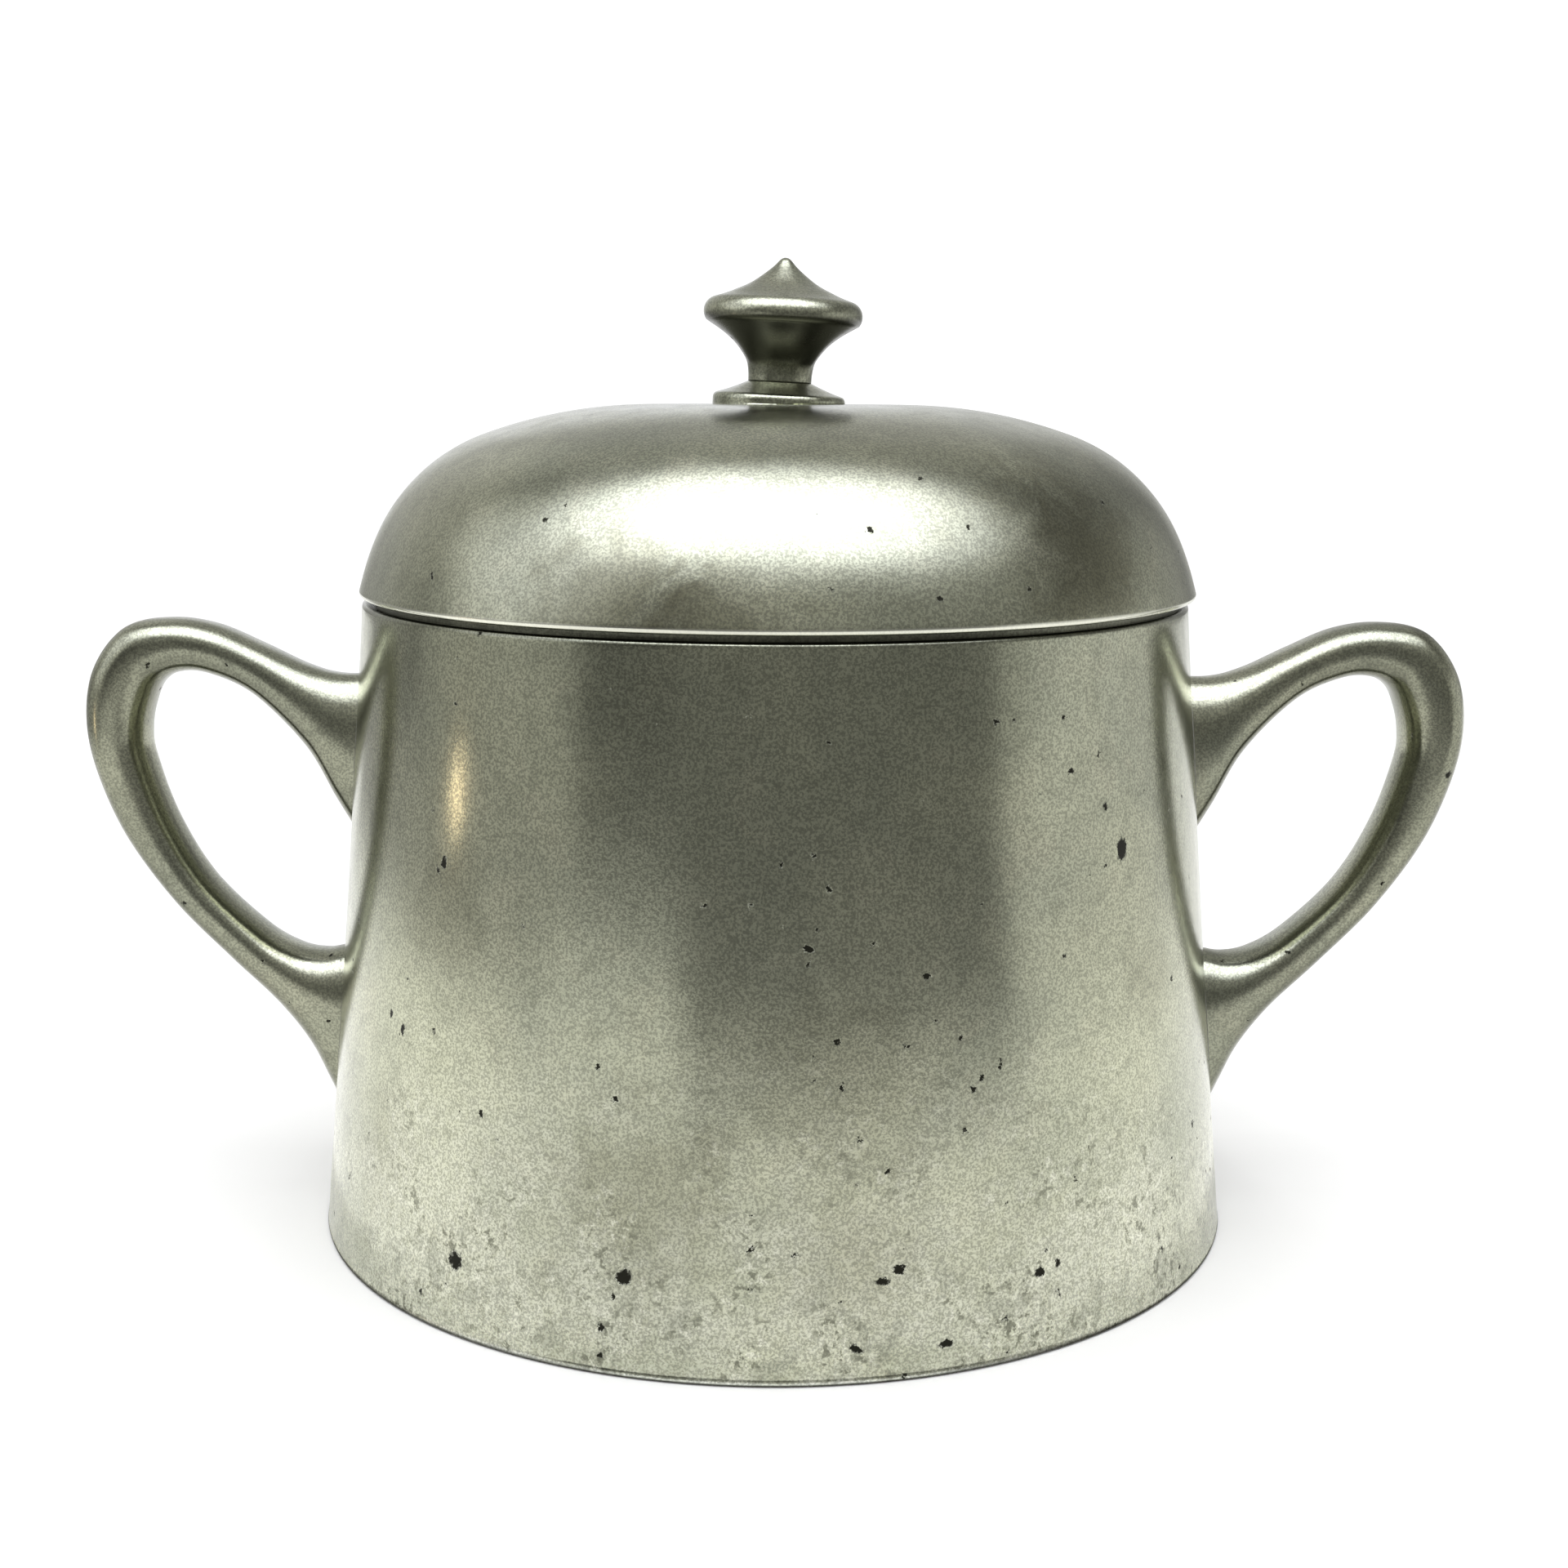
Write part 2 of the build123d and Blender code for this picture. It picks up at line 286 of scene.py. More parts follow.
def round_axis(turn, r, z):
    """The point in a direction round the vertical axis, at a distance from it and a height."""
    return (r * sin(radians(turn)), -r * cos(radians(turn)), z)


def on_arc(centre, radius, angle):
    """A point of a circle in (radius, height), at an angle from the vertical."""
    return (centre[0] + radius * sin(radians(angle)), centre[1] + radius * cos(radians(angle)))


def at_height(centre, radius, z):
    """The outer point of a circle in (radius, height) at a height."""
    return (centre[0] + sqrt(radius**2 - (z - centre[1]) ** 2), z)


def angle_to(centre, point):
    """The angle from the vertical of a point seen from a centre, in (radius, height)."""
    return degrees(atan2(point[0] - centre[0], point[1] - centre[1]))


def spaced(start, end, steps):
    """Evenly spaced numbers, both ends included."""
    return [start + (end - start) * i / steps for i in range(steps + 1)]


def arc(centre, radius, start, end, steps):
    """Points of an arc, both ends included."""
    return [on_arc(centre, radius, angle) for angle in spaced(start, end, steps)]


def line(start, end, steps):
    """Points of a straight run, both ends included."""
    return list(zip(spaced(start[0], end[0], steps), spaced(start[1], end[1], steps)))


def spline(points, steps):
    """Points of a Catmull-Rom curve through rows of numbers, both ends included."""
    rows = [Vector(p) for p in points]
    rows = [2 * rows[0] - rows[1]] + rows + [2 * rows[-1] - rows[-2]]
    curve = []
    for a, b, c, d in zip(rows, rows[1:], rows[2:], rows[3:]):
        for i in range(steps):
            t = i / steps
            square = (2 * a - 5 * b + 4 * c - d) * t**2
            cube = (3 * b - a - 3 * c + d) * t**3
            curve.append(0.5 * (2 * b + (c - a) * t + square + cube))
    return curve + [rows[-2]]


def joined(*runs):
    """One list of points from runs that share their end points."""
    points = []
    for run in runs:
        for p in run:
            if not points or hypot(p[0] - points[-1][0], p[1] - points[-1][1]) > 1e-4:
                points.append(tuple(p))
    return points


def unevenness(point, seed, size, depth):
    """How far a hand-finished surface lies below its true shape, in mm: slow waves and a finer ripple."""
    p = Vector(point)
    slow = noise.noise(p / size + Vector((seed, 0, 0)))
    fine = noise.noise(p / (0.3 * size) + Vector((0, seed, 0)))
    return depth * (0.6 + 0.5 * slow + 0.14 * fine)


def new_object(name, data):
    """A linked object that shows a mesh, a light or a camera."""
    thing = bpy.data.objects.new(name, data)
    bpy.context.scene.collection.objects.link(thing)
    return thing


def new_piece(name, points, faces, body, nodes):
    """A smooth-shaded piece, given points in mm, that rides on a body and stands for CAD nodes."""
    mesh = bpy.data.meshes.new(name)
    mesh.from_pydata([Vector(p) * MM for p in points], [], faces)
    mesh.shade_smooth()
    mesh.validate()
    piece = new_object(name, mesh)
    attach(piece, body)
    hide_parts(*nodes)
    return piece


def turned(profile, segments, shape):
    """Points and faces of a closed profile turned about Z; shape(x, y, z, index) gives each point's place.

    A profile point on the axis becomes a single point.
    """
    points = []
    rings = []
    for index, (r, z) in enumerate(profile):
        if r < 1e-6:
            rings.append([len(points)] * segments)
            points.append(shape(0.0, 0.0, z, index))
            continue
        rings.append(list(range(len(points), len(points) + segments)))
        for k in range(segments):
            turn = 2 * pi * k / segments
            points.append(shape(r * sin(turn), -r * cos(turn), z, index))
    faces = []
    for a, b in zip(rings, rings[1:] + rings[:1]):
        for k in range(segments):
            n = (k + 1) % segments
            corners = [a[k], a[n], b[n], b[k]]
            face = [c for i, c in enumerate(corners) if c != corners[i - 1]]
            if len(face) > 2:
                faces.append(face[::-1])
    return points, faces


def bowl_wall():
    """The tapering wall, with faint waves left by hand finishing on its outside."""
    outer_top = RIM_Z - RIM_ROUND
    inner_top = RIM_Z - RIM_INNER_ROUND
    profile = joined(
        arc((BASE_R - BASE_ROUND, BASE_ROUND), BASE_ROUND, 180, 90, 4),
        [(wall_r(z), z) for z in spaced(BASE_ROUND, outer_top, 110)],
        arc((wall_r(outer_top) - RIM_ROUND, outer_top), RIM_ROUND, 90, 0, 6),
        arc((wall_r(RIM_Z) - WALL_T + RIM_INNER_ROUND, inner_top), RIM_INNER_ROUND, 0, -90, 4),
        [(wall_r(z) - WALL_T, z) for z in spaced(inner_top, 0, 40)],
    )

    def shape(x, y, z, index):
        r = hypot(x, y)
        if r < wall_r(z) - WALL_T / 2:
            return (x, y, z)
        drop = unevenness((x, y, z), seed=3.0, size=26, depth=0.055)
        drop *= smooth(0, 1.5, z) * smooth(RIM_Z, RIM_Z - 3, z)
        return (x * (1 - drop / r), y * (1 - drop / r), z)

    points, faces = turned(profile, 384, shape)
    return new_piece("aged_wall", points, faces, "bowl", ["bowl_wall"])


# Centres of the lid's arcs, in (radius, height)
SHOULDER_CENTRE = (CROWN_FLAT_R, CROWN_Z - SHOULDER_R)
TURN_CENTRE = on_arc(SHOULDER_CENTRE, SHOULDER_R - TURN_R, SHOULDER_ANGLE)
SKIRT_CENTRE = on_arc(TURN_CENTRE, TURN_R - SKIRT_R, TURN_ANGLE)


def lid_dome():
    """The lid: flat crown, three tangent arcs, a rounded lip, and the same arcs inside."""
    lip = at_height(SKIRT_CENTRE, SKIRT_R - LIP_ROUND, LIP_Z + LIP_ROUND)
    lip_angle = angle_to(SKIRT_CENTRE, lip)
    foot = at_height(SKIRT_CENTRE, SKIRT_R - LID_T, LIP_Z)
    foot_angle = angle_to(SKIRT_CENTRE, foot)
    ceiling = CROWN_Z - LID_T
    outside = joined(
        line((CROWN_HOLE_R, CROWN_Z), (CROWN_FLAT_R, CROWN_Z), 10),
        arc(SHOULDER_CENTRE, SHOULDER_R, 0, SHOULDER_ANGLE, 24),
        arc(TURN_CENTRE, TURN_R, SHOULDER_ANGLE, TURN_ANGLE, 28),
        arc(SKIRT_CENTRE, SKIRT_R, TURN_ANGLE, lip_angle, 14),
    )
    profile = joined(
        outside,
        arc(lip, LIP_ROUND, lip_angle, 180, 7),
        line((lip[0], LIP_Z), foot, 2),
        arc(SKIRT_CENTRE, SKIRT_R - LID_T, foot_angle, TURN_ANGLE, 8),
        arc(TURN_CENTRE, TURN_R - LID_T, TURN_ANGLE, SHOULDER_ANGLE, 14),
        arc(SHOULDER_CENTRE, SHOULDER_R - LID_T, SHOULDER_ANGLE, 0, 12),
        line((CROWN_FLAT_R, ceiling), (CROWN_HOLE_R, ceiling), 6),
    )

    def shape(x, y, z, index):
        if index >= len(outside):
            return (x + LID_SHIFT, y, z)
        drop = unevenness((x, y, z), seed=8.0, size=24, depth=0.05)
        drop *= smooth(9, 18, hypot(x, y)) * smooth(LIP_Z, LIP_Z + 2, z)
        inward = Vector((x, y, z - 45)).normalized() * -drop
        return (x + inward.x + LID_SHIFT, y + inward.y, z + inward.z)

    points, faces = turned(profile, 384, shape)
    return new_piece("aged_dome", points, faces, "lid", ["lid_dome"])


def lid_r(z):
    """Outer radius of the lid at a height on its turn."""
    return at_height(TURN_CENTRE, TURN_R, z)[0]


def leant(points):
    """Finial points, measured up from the crown, leant over and put in place."""
    lean = Matrix.Rotation(radians(FINIAL_LEAN), 4, "Y")
    return [lean @ Vector(p) + Vector((LID_SHIFT, 0, CROWN_Z)) for p in points]


def knob():
    """The turned knob: flared stem, rounded edge, hollow-sided point with a blunt tip."""
    flare_end = on_arc(KNOB_EDGE, KNOB_EDGE_R, FLARE_ANGLE)
    ogee_start = on_arc(KNOB_EDGE, KNOB_EDGE_R, OGEE_ANGLE)
    stem = [(STEM_R, COLLAR_TOP), (3.45, 3.2), (3.66, 4.35), (4.25, 5.35), (5.15, 6.4), (6.4, 7.4)]
    ogee = [(6.3, 11.33), (5.3, 11.75), (3.5, 12.63), (1.55, 14.09), (0.55, 15.07)]
    profile = joined(
        spline(stem + [flare_end], 6),
        arc(KNOB_EDGE, KNOB_EDGE_R, FLARE_ANGLE, OGEE_ANGLE, 16),
        spline([ogee_start] + ogee, 7),
        arc(TIP_CENTRE, TIP_R, TIP_ANGLE, 0, 5),
        line((0, STUD_BORE_H + 1), (STUD_BORE_R, STUD_BORE_H), 2),
        line((STUD_BORE_R, STUD_BORE_H), (STUD_BORE_R, COLLAR_TOP), 4),
    )

    def shape(x, y, z, index):
        r = hypot(x, y)
        if r < STUD_BORE_R + 0.15 and z < STUD_BORE_H + 1.5:
            return (x, y, z)
        drop = unevenness((x, y, z), seed=5.0, size=5, depth=0.05)
        drop *= smooth(COLLAR_TOP, 3.4, z) * smooth(0, 2, r)
        return (x * (1 - drop / max(r, 1)), y * (1 - drop / max(r, 1)), z)

    points, faces = turned(profile, 128, shape)
    return new_piece("turned_knob", leant(points), faces, "lid", ["knob"])


def knob_collar():
    """The collar leans with the knob, and its underside is cut flat on the crown."""
    slope = [(3.45, COLLAR_TOP), (4.0, 2.05), (4.7, 1.75), (5.7, 1.37), (6.6, 1.08)]
    edge = [(6.6, 1.08), (6.83, 0.98), (7.0, 0.8), (7.09, 0.55), (COLLAR_R, 0.3)]
    profile = joined(
        line((CROWN_HOLE_R, COLLAR_TOP), slope[0], 3),
        spline(slope, 5),
        spline(edge, 4),
        line(edge[-1], (COLLAR_R, -COLLAR_SUNK), 4),
        line((COLLAR_R, -COLLAR_SUNK), (CROWN_HOLE_R, -COLLAR_SUNK), 8),
        line((CROWN_HOLE_R, -COLLAR_SUNK), (CROWN_HOLE_R, COLLAR_TOP), 4),
    )
    points, faces = turned(profile, 128, lambda x, y, z, index: (x, y, z))
    flat = [(p.x, p.y, max(p.z, CROWN_Z)) for p in leant(points)]
    return new_piece("turned_collar", flat, faces, "lid", ["knob_collar"])


def flattened(value):
    """A sine or cosine pushed outwards, which turns an ellipse into an oval with flatter sides."""
    return abs(value) ** SIDE_FLATNESS * (1 if value > 0 else -1)


def handle(side):
    """An ear-shaped handle: flat-sided oval sections from its upper foot, round the loop, to its lower."""
    around = 44
    points = []
    rows = []
    for outer_x, outer_z, inner_x, inner_z, half_y in spline(STATIONS, 11):
        middle_x = (outer_x + inner_x) / 2
        middle_z = (outer_z + inner_z) / 2
        row = []
        for k in range(around):
            turn = 2 * pi * k / around
            across = flattened(cos(turn))
            x = middle_x + (outer_x - inner_x) / 2 * across
            z = middle_z + (outer_z - inner_z) / 2 * across
            y = half_y * flattened(sin(turn))
            shrink = unevenness((x, y, z), seed=7.0 * side, size=11, depth=0.05) / SECTION_HALF
            x += shrink * (middle_x - x)
            z += shrink * (middle_z - z)
            y -= shrink * y
            x += max(0.0, wall_r(z) - WALL_T / 2 - hypot(x, y))
            row.append(len(points))
            points.append((x * side, y, z))
        rows.append(row)
    faces = [rows[0][::-1], rows[-1]]
    for a, b in zip(rows, rows[1:]):
        for k in range(around):
            n = (k + 1) % around
            faces.append([a[k], a[n], b[n], b[k]])
    if side < 0:
        faces = [f[::-1] for f in faces]
    where = "right" if side > 0 else "left"
    return new_piece("cast_handle_" + where, points, faces, "bowl", ["handle_" + where])


# Materials


class Graph:
    """A new material's nodes, each added in one call that sets or links its sockets."""

    def __init__(self, name):
        self.material = bpy.data.materials.new(name)
        self.material.use_nodes = True
        self.tree = self.material.node_tree
        self.tree.nodes.clear()

    def add(self, kind, sockets=None, output=0, **attributes):
        """An output of a new node. Each socket, by name or number, gets a value or another node's output."""
        node = self.tree.nodes.new("ShaderNode" + kind)
        for key, value in attributes.items():
            setattr(node, key, value)
        for key, value in (sockets or {}).items():
            if isinstance(value, bpy.types.NodeSocket):
                self.tree.links.new(value, node.inputs[key])
            else:
                node.inputs[key].default_value = value
        return node.outputs[output] if node.outputs else node

    def math(self, operation, a, b=0.0, c=0.0):
        return self.add("Math", {0: a, 1: b, 2: c}, operation=operation)

    def vector(self, operation, a, b=(0, 0, 0), c=(0, 0, 0), output="Vector"):
        return self.add("VectorMath", {0: a, 1: b, 2: c}, output, operation=operation)

    def remap(self, value, from_low, from_high, to_low=0.0, to_high=1.0):
        """A value moved from one range to another along an S curve, and clamped."""
        ranges = {"From Min": from_low, "From Max": from_high, "To Min": to_low, "To Max": to_high}
        return self.add("MapRange", {"Value": value, **ranges}, interpolation_type="SMOOTHSTEP")

    def noise(self, place, size, detail=2.0, roughness=0.5, distortion=0.0, output=0):
        """Noise whose features are about that many mm across."""
        pattern = {"Scale": 1 / size, "Detail": detail, "Roughness": roughness, "Distortion": distortion}
        return self.add("TexNoise", {"Vector": place, **pattern}, output)

    def mix(self, factor, a, b):
        """Colour a where the factor is 0, colour b where it is 1."""
        return self.add("Mix", {0: factor, 6: a, 7: b}, 2, data_type="RGBA")

    def place_in_mm(self):
        """Where the surface is, in the object's own frame."""
        place = self.add("TexCoord", output="Object")
        return self.add("VectorMath", {0: place, "Scale": 1 / MM}, operation="SCALE")

    def finish(self, shader):
        """Joins a shader to the output, and gives the material."""
        self.add("OutputMaterial", {"Surface": shader})
        return self.material

    def finish_metal(self, tint, rough, relief):
        """Makes the material a bare metal with that colour, roughness and relief in mm."""
        bump = self.add("Bump", {"Strength": 1.0, "Distance": MM, "Height": relief})
        sockets = {"Base Color": tint, "Metallic": 1.0, "Roughness": rough, "Normal": bump}
        return self.finish(self.add("BsdfPrincipled", sockets))


def colour(rgb, tone=1.0):
    """A colour for a socket, made darker by a tone below 1."""
    return (*(c * tone for c in rgb), 1.0)


def away_from(graph, place, turn, height, radius_at):
    """How far the surface is from one of its own points, in mm."""
    return graph.vector("DISTANCE", place, round_axis(turn, radius_at(height), height), output="Value")


def placed_pits(graph, place, pits, radius_at):
    """1 inside pits given by degrees round, height, half width and half height."""
    nearest = None
    for turn, height, half_width, half_height in pits:
        size = (1 / half_width, 1 / half_width, 1 / half_height)
        centre = round_axis(turn, radius_at(height), height)
        offset = tuple(-c * s for c, s in zip(centre, size))
        away = graph.vector("LENGTH", graph.vector("MULTIPLY_ADD", place, size, offset), output="Value")
        nearest = away if nearest is None else graph.math("MINIMUM", nearest, away)
    return graph.remap(nearest, 1.0, 0.75)


def scattered_pits(graph, place, cell, biggest, share, seed):
    """1 inside small pits at random places, of up to a radius in mm.

    A Voronoi pattern with cells of a size in mm has one pit in each cell, and a share of them is kept.
    """
    moved = graph.vector("ADD", place, (seed, -seed, 2 * seed))
    nearest = graph.add("TexVoronoi", {"Vector": moved, "Scale": 1 / cell, "Randomness": 1.0}, "Distance")
    away = graph.math("MULTIPLY", nearest, cell)
    chance = graph.add("SeparateColor", {0: nearest.node.outputs["Color"]}, "Red")
    kept = graph.math("LESS_THAN", chance, share)
    size = chance.node.outputs["Green"]
    radius = graph.math("MULTIPLY", graph.math("POWER", size, 1.6), biggest)
    inside = graph.remap(graph.math("SUBTRACT", radius, away), -0.02, 0.07)
    return graph.math("MULTIPLY", inside, kept)


def clouded(graph, place, small_clouds, blotches, tone):
    """Olive-grey tarnish in large clouds, with warmer patches and dark blotches."""
    clouds = graph.noise(place, 21, 4, 0.55, 0.4)
    tarnish = graph.mix(graph.remap(clouds, 0.36, 0.66), colour(DEEP_OLIVE, tone), colour(PALE_OLIVE, tone))
    warm = graph.math("MULTIPLY", graph.remap(small_clouds, 0.5, 0.75), 0.35)
    tarnish = graph.mix(warm, tarnish, colour(WARM_OLIVE, tone))
    blotched = graph.remap(blotches, 0.48, 0.7, 0.0, 0.32)
    return graph.mix(blotched, tarnish, colour(DARK_BLOTCH, tone))


def stained(graph, place, tarnish, small_clouds, stains, radius_at, tone):
    """Tarnish with ragged brownish stains on it."""
    for turn, height, reach, strength in stains:
        away = away_from(graph, place, turn, height, radius_at)
        uneven = graph.math("MULTIPLY_ADD", graph.math("SUBTRACT", small_clouds, 0.5), reach * 2.2, away)
        share = graph.remap(uneven, reach, 0.2 * reach, 0.0, strength)
        tarnish = graph.mix(share, tarnish, colour(BROWN_STAIN, tone))
    return tarnish


def bloom_level(graph, place, low, crust):
    """How thick the wall's pale bloom is: mottled, heavier in places, and thicker towards the foot. Two
    heavy places low at the foot are partly painted reflection of the floor.
    """
    mottle = graph.noise(place, 8.0, 6, 0.66, 0.15)
    level = graph.math("MULTIPLY_ADD", low, 0.14, graph.math("SUBTRACT", mottle, 0.1))
    for turn, height, reach, strength in BLOOM_AND_FLOOR_REFLECTION:
        away = away_from(graph, place, turn, height, wall_r)
        level = graph.math("ADD", level, graph.remap(away, reach, 0.0, 0.0, strength))
    bloom = graph.math("MULTIPLY", graph.remap(level, 0.36, 0.72), low)
    return graph.math("MULTIPLY", bloom, graph.remap(crust, 0.34, 0.6, 0.5, 1.0))


def corroded(graph, place, height, tarnish, bloom, crust, crumbled):
    """Tarnish with bloom, dark islands near the foot, and dark flecks and pale crumbs where it crumbles."""
    tarnish = graph.mix(graph.math("MULTIPLY", bloom, 0.52), tarnish, colour(PALE_BLOOM))
    islands = graph.remap(graph.noise(place, 3.2, 3, 0.5, 0.5), 0.575, 0.6)
    islands = graph.math("MULTIPLY", islands, graph.remap(height, 18.0, BLOOM_FOOT, 0.0, 0.4))
    tarnish = graph.mix(islands, tarnish, colour(DARK_ISLAND))
    flecks = graph.math("MULTIPLY", graph.remap(crust, 0.44, 0.385, 0.0, 0.72), crumbled)
    tarnish = graph.mix(flecks, tarnish, colour(DARK_FLECK))
    crumbs = graph.math("MULTIPLY", graph.remap(crust, 0.56, 0.64, 0.0, 0.5), crumbled)
    return graph.mix(crumbs, tarnish, colour(PALE_CRUMB))


def paler_inside(graph, place, height, tarnish):
    """Tarnish that is paler and less green on the inside of the wall."""
    radius = graph.vector("LENGTH", graph.vector("MULTIPLY", place, (1, 1, 0)), output="Value")
    straightened = graph.math("MULTIPLY_ADD", height, (BASE_R - RIM_R) / RIM_Z, radius)
    inside = graph.remap(straightened, BASE_R - 0.6, BASE_R - 1.1, 0.0, 0.65)
    return graph.mix(inside, tarnish, colour(INSIDE_GREY))


def aged_pewter(
    name,
    tone,
    gloss,
    pit_share,
    pits=(),
    radius_at=None,
    stains=(),
    bloom=False,
    underside_shade=0.0,
    lip_highlight_z=None,
    shade_bands=(),
):
    """Old satin pewter: olive-grey tarnish in clouds, a sandy grain, and dark pits.

    tone scales its colours, gloss is its middle roughness, and pit_share is how many small pits are kept.
    pits and stains lie on a surface whose radius at a height is radius_at(height). bloom adds what the
    wall has: corrosion towards the foot and a paler inside. underside_shade is painted shade that darkens
    what faces down, lip_highlight_z is the height of a painted highlight along the lid's lip, and each of
    the shade_bands is painted shade that darkens from its clear height to its dark one.
    """
    graph = Graph(name)
    place = graph.place_in_mm()
    height = graph.add("SeparateXYZ", {0: place}, "Z")
    wander = graph.vector("SUBTRACT", graph.noise(place, 0.75, 4, 0.75, output="Color"), (0.5, 0.5, 0.5))
    ragged = graph.vector("MULTIPLY_ADD", wander, (1.6, 1.6, 1.6), place)
    small_clouds = graph.noise(place, 6.5, 4, 0.6, 0.8)
    blotches = graph.noise(place, 2.6, 4, 0.6, 0.3)
    grain = graph.noise(place, 0.25, 1, 0.7)
    coarse_grain = graph.noise(place, 0.9, 3, 0.65)

    tarnish = clouded(graph, place, small_clouds, blotches, tone)
    tarnish = stained(graph, place, tarnish, small_clouds, stains, radius_at, tone)
    rough = graph.math("MULTIPLY_ADD", small_clouds, 0.12, gloss - 0.06)
    rough = graph.math("MULTIPLY_ADD", blotches, 0.1, graph.math("SUBTRACT", rough, 0.05))
    relief = graph.math("MULTIPLY", grain, 0.004)
    relief = graph.math("MULTIPLY_ADD", coarse_grain, 0.004, relief)
    scars = scattered_pits(graph, ragged, 4.2, 0.45, pit_share, 11.0)
    speck_share = pit_share * 2

    if bloom:
        low = graph.remap(height, BLOOM_TOP, BLOOM_FOOT)
        crust = graph.noise(place, 0.95, 3, 0.62, 0.3)
        patches = graph.remap(graph.noise(place, 7.0, 4, 0.65), 0.46, 0.6, 0.08, 1.0)
        crumbled = graph.math("MULTIPLY", low, patches)
        level = bloom_level(graph, place, low, crust)
        tarnish = corroded(graph, place, height, tarnish, level, crust, crumbled)
        tarnish = paler_inside(graph, place, height, tarnish)
        rough = graph.math("MULTIPLY_ADD", level, 0.14, rough)
        relief = graph.math("MULTIPLY_ADD", crust, graph.math("MULTIPLY", crumbled, 0.02), relief)
        holes = scattered_pits(graph, ragged, 3.1, 0.5, graph.math("MULTIPLY", crumbled, 0.25), 53.0)
        scars = graph.math("MAXIMUM", scars, holes)
        speck_share = graph.math("MULTIPLY_ADD", crumbled, 0.4, pit_share)
    specks = scattered_pits(graph, ragged, 1.4, 0.33, speck_share, 37.0)
    scars = graph.math("MAXIMUM", scars, specks)

    sandy = graph.mix(0.5, tarnish, colour(SAND))
    tarnish = graph.mix(graph.remap(grain, 0.38, 0.62, 0.0, 0.95), tarnish, sandy)
    # Painted shade: what faces down is darkened, standing in for the shade under the knob and the handles
    if underside_shade:
        facing = graph.add("SeparateXYZ", {0: graph.add("TexCoord", output="Normal")}, "Z")
        tarnish = graph.mix(graph.remap(facing, 0.1, -0.45, 0.0, underside_shade), tarnish, colour(PAINTED_UNDERSIDE_SHADE))
    # Painted highlight: a pale line along the lid's rounded lip, where it catches the light
    if lip_highlight_z:
        from_lip = graph.math("ABSOLUTE", graph.math("SUBTRACT", height, lip_highlight_z))
        tarnish = graph.mix(graph.remap(from_lip, 0.34, 0.1, 0.0, 0.7), tarnish, colour(PAINTED_LIP_HIGHLIGHT))
    # Painted shade: each band darkens towards a height, where the gap between lid and bowl and the foot's
    # edge lie in shade
    for clear_z, dark_z, strength in shade_bands:
        gap_shade = graph.remap(height, clear_z, dark_z, 0.0, strength)
        tarnish = graph.mix(gap_shade, tarnish, colour(PAINTED_CREASE_SHADE))

    if pits:
        scars = graph.math("MAXIMUM", scars, placed_pits(graph, ragged, pits, radius_at))
    tarnish = graph.mix(scars, tarnish, colour(PIT_DARK))
    rough = graph.math("MULTIPLY_ADD", scars, 0.3, rough)
    relief = graph.math("MULTIPLY_ADD", scars, -0.16, relief)
    return graph.finish_metal(tarnish, rough, relief)


def dull_metal(name, base, dark, gloss, grain_size):
    """Metal that is seldom seen or touched: mottled between two colours, with a rough cast grain."""
    graph = Graph(name)
    place = graph.place_in_mm()
    mottle = graph.noise(place, 3.0, 5, 0.65, 0.5)
    grain = graph.noise(place, grain_size, 3, 0.6)
    tint = graph.mix(graph.remap(mottle, 0.35, 0.65), colour(base), colour(dark))
    rough = graph.math("MULTIPLY_ADD", mottle, 0.25, gloss - 0.12)
    relief = graph.math("ADD", graph.math("MULTIPLY", mottle, 0.05), graph.math("MULTIPLY", grain, 0.02))
    return graph.finish_metal(tint, rough, relief)


def coat(piece, material):
    """Gives a piece one material in place of whatever it had."""
    piece.data.materials.clear()
    piece.data.materials.append(material)


# Pieces


body_pewter = aged_pewter(
    "pewter_body",
    tone=1.0,
    gloss=0.18,
    pit_share=0.08,
    pits=BODY_PITS,
    radius_at=wall_r,
    stains=BODY_STAINS,
    bloom=True,
    shade_bands=BODY_SHADE_BANDS,
)
lid_pewter = aged_pewter(
    "pewter_lid",
    tone=0.9,
    gloss=0.22,
    pit_share=0.05,
    pits=LID_PITS,
    radius_at=lid_r,
    stains=LID_STAINS,
    lip_highlight_z=LIP_HIGHLIGHT_Z,
    shade_bands=LID_SHADE_BANDS,
)
# The handles' lower tone is painted shade: the whole handle is darkened for the shade it lies in
handle_pewter = aged_pewter(
    "pewter_handles",
    tone=0.74,
    gloss=0.22,
    pit_share=0.08,
    pits=HANDLE_PITS,
    radius_at=lambda height: HANDLE_PIT_R,
    underside_shade=0.5,
)
# The finial's lower tone is painted shade, and so is its darkening of what faces down under the knob
finial_pewter = aged_pewter("pewter_finial", tone=0.78, gloss=0.26, pit_share=0.05, underside_shade=0.95)
inner_pewter = aged_pewter("pewter_inside", tone=0.95, gloss=0.34, pit_share=0.06, shade_bands=RING_SHADE_BANDS)
# The solder's dark colour is partly its own and partly painted shade in the crevices round the handles' feet
solder_and_crevice_shade = dull_metal("solder", (0.3, 0.3, 0.27), (0.16, 0.16, 0.14), 0.5, 0.4)
brass_metal = dull_metal("brass_fittings", (0.5, 0.38, 0.19), (0.3, 0.22, 0.11), 0.4, 0.3)

coat(bowl_wall(), body_pewter)
coat(lid_dome(), lid_pewter)
coat(knob(), finial_pewter)
coat(knob_collar(), lid_pewter)
for side in (1, -1):
    coat(handle(side), handle_pewter)

